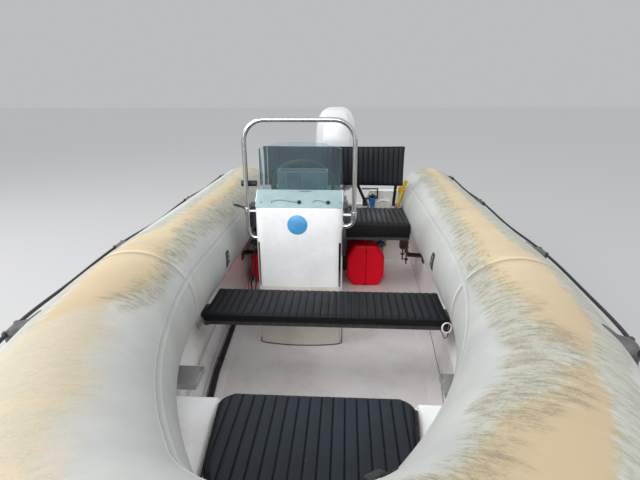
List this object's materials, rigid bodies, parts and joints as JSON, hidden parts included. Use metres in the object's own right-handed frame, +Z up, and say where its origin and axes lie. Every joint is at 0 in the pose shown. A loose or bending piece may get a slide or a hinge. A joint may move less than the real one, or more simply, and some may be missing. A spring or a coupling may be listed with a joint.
{
  "type": "rigid inflatable boat",
  "caption": "Small rib boat with inflated grey collar, vee hull, offset steering console with hoop rail, thwart, folding-back bench, hinged bow locker and tilting, steering outboard",
  "frame": {"origin": "on the centreline at the waterline, below the middle of the collar", "axes": "+X to the bow, +Y to port, +Z up"},
  "size_m": [4.1798, 2.042, 1.7655],
  "materials": {
    "tube_fabric": "satin",
    "black_rubber": "satin",
    "grey_rubber": "satin",
    "gelcoat": "gloss",
    "deck_gelcoat": "satin",
    "console_gelcoat": "gloss",
    "cushion_vinyl": "satin",
    "seat_board": "matt",
    "bare_steel": "satin",
    "rail_steel": "polished",
    "black_metal": "satin",
    "screen_acrylic": "gloss",
    "tray_plastic": "matt",
    "black_plastic": "satin",
    "tank_red": "gloss",
    "filter_blue": "gloss",
    "motor_grey": "satin",
    "engine_iron": "satin",
    "line_black": "matt",
    "cable_red": "satin",
    "staff_yellow": "satin",
    "cap_navy": "satin",
    "cowl_white": "gloss"
  },
  "bodies": {
    "boat": {"hull": "gelcoat", "deck": "deck_gelcoat", "side_moulding": "gelcoat", "bow_moulding": "gelcoat", "transom": "gelcoat", "tube_port": "tube_fabric", "tube_starboard": "tube_fabric", "tube_bow": "tube_fabric", "strake_port": "black_rubber", "strake_starboard": "black_rubber", "strake_bow": "black_rubber", "thwart_board": "seat_board", "thwart_cushion": "cushion_vinyl", "thwart_brackets": "bare_steel", "console": "console_gelcoat", "windscreen": "screen_acrylic", "console_tray": "tray_plastic", "console_rail": "rail_steel", "helm_unit": "black_plastic", "throttle_box": "black_plastic", "throttle_lever": "black_plastic", "bench_frame": "seat_board", "bench_cushion": "cushion_vinyl", "backrest_hinges": "bare_steel", "fuel_tank_port": "tank_red", "fuel_tank_starboard": "tank_red", "fuel_filter": "filter_blue", "line_eyes_port": "grey_rubber", "line_eyes_starboard": "grey_rubber", "motor_bracket": "motor_grey", "bow_eye": "bare_steel", "lifeline_port": "line_black", "lifeline_starboard": "line_black", "control_cable": "line_black", "red_cable": "cable_red", "fuel_hose": "line_black", "side_conduit": "line_black", "staff": "staff_yellow", "tank_caps": "cap_navy"},
    "locker_lid": {"bow_lid": "gelcoat", "bow_cushion": "cushion_vinyl"},
    "seat_back": {"backrest": "cushion_vinyl", "backrest_arms": "black_metal"},
    "wheel": {"steering_wheel": "black_plastic"},
    "motor_carrier": {"motor_swivel": "motor_grey"},
    "motor": {"motor_leg": "motor_grey", "powerhead": "engine_iron", "motor_cowl": "cowl_white", "gearcase": "motor_grey"},
    "prop": {"propeller": "motor_grey"}
  },
  "joints": [
    {"name": "bow_lid_hinge", "type": "hinge", "parent": "boat", "child": "locker_lid", "pos_m": [1.33, 0, 0.3813], "axis": [0, 1, 0], "range_deg": [0, 40]},
    {"name": "backrest_fold", "type": "hinge", "parent": "boat", "child": "seat_back", "pos_m": [-1.316, 0, 0.58], "axis": [0, 1, 0], "range_deg": [0, 38]},
    {"name": "wheel_turn", "type": "hinge", "parent": "boat", "child": "wheel", "pos_m": [-0.523, -0.155, 0.885], "axis": [-0.866, 0, 0.5], "range_deg": [-540, 540]},
    {"name": "motor_tilt", "type": "hinge", "parent": "boat", "child": "motor_carrier", "pos_m": [-1.65, 0, 0.545], "axis": [0, 1, 0], "range_deg": [0, 30]},
    {"name": "motor_steer", "type": "hinge", "parent": "motor_carrier", "child": "motor", "pos_m": [-1.75, 0, 0.545], "axis": [0, 0, 1], "range_deg": [-30, 30]},
    {"name": "prop_spin", "type": "hinge", "parent": "motor", "child": "prop", "pos_m": [-2, 0, -0.335], "axis": [1, 0, 0], "continuous": true}
  ],
  "couplings": [
    {"joint": "wheel_turn", "follows": "motor_steer", "ratio": -18}
  ]
}
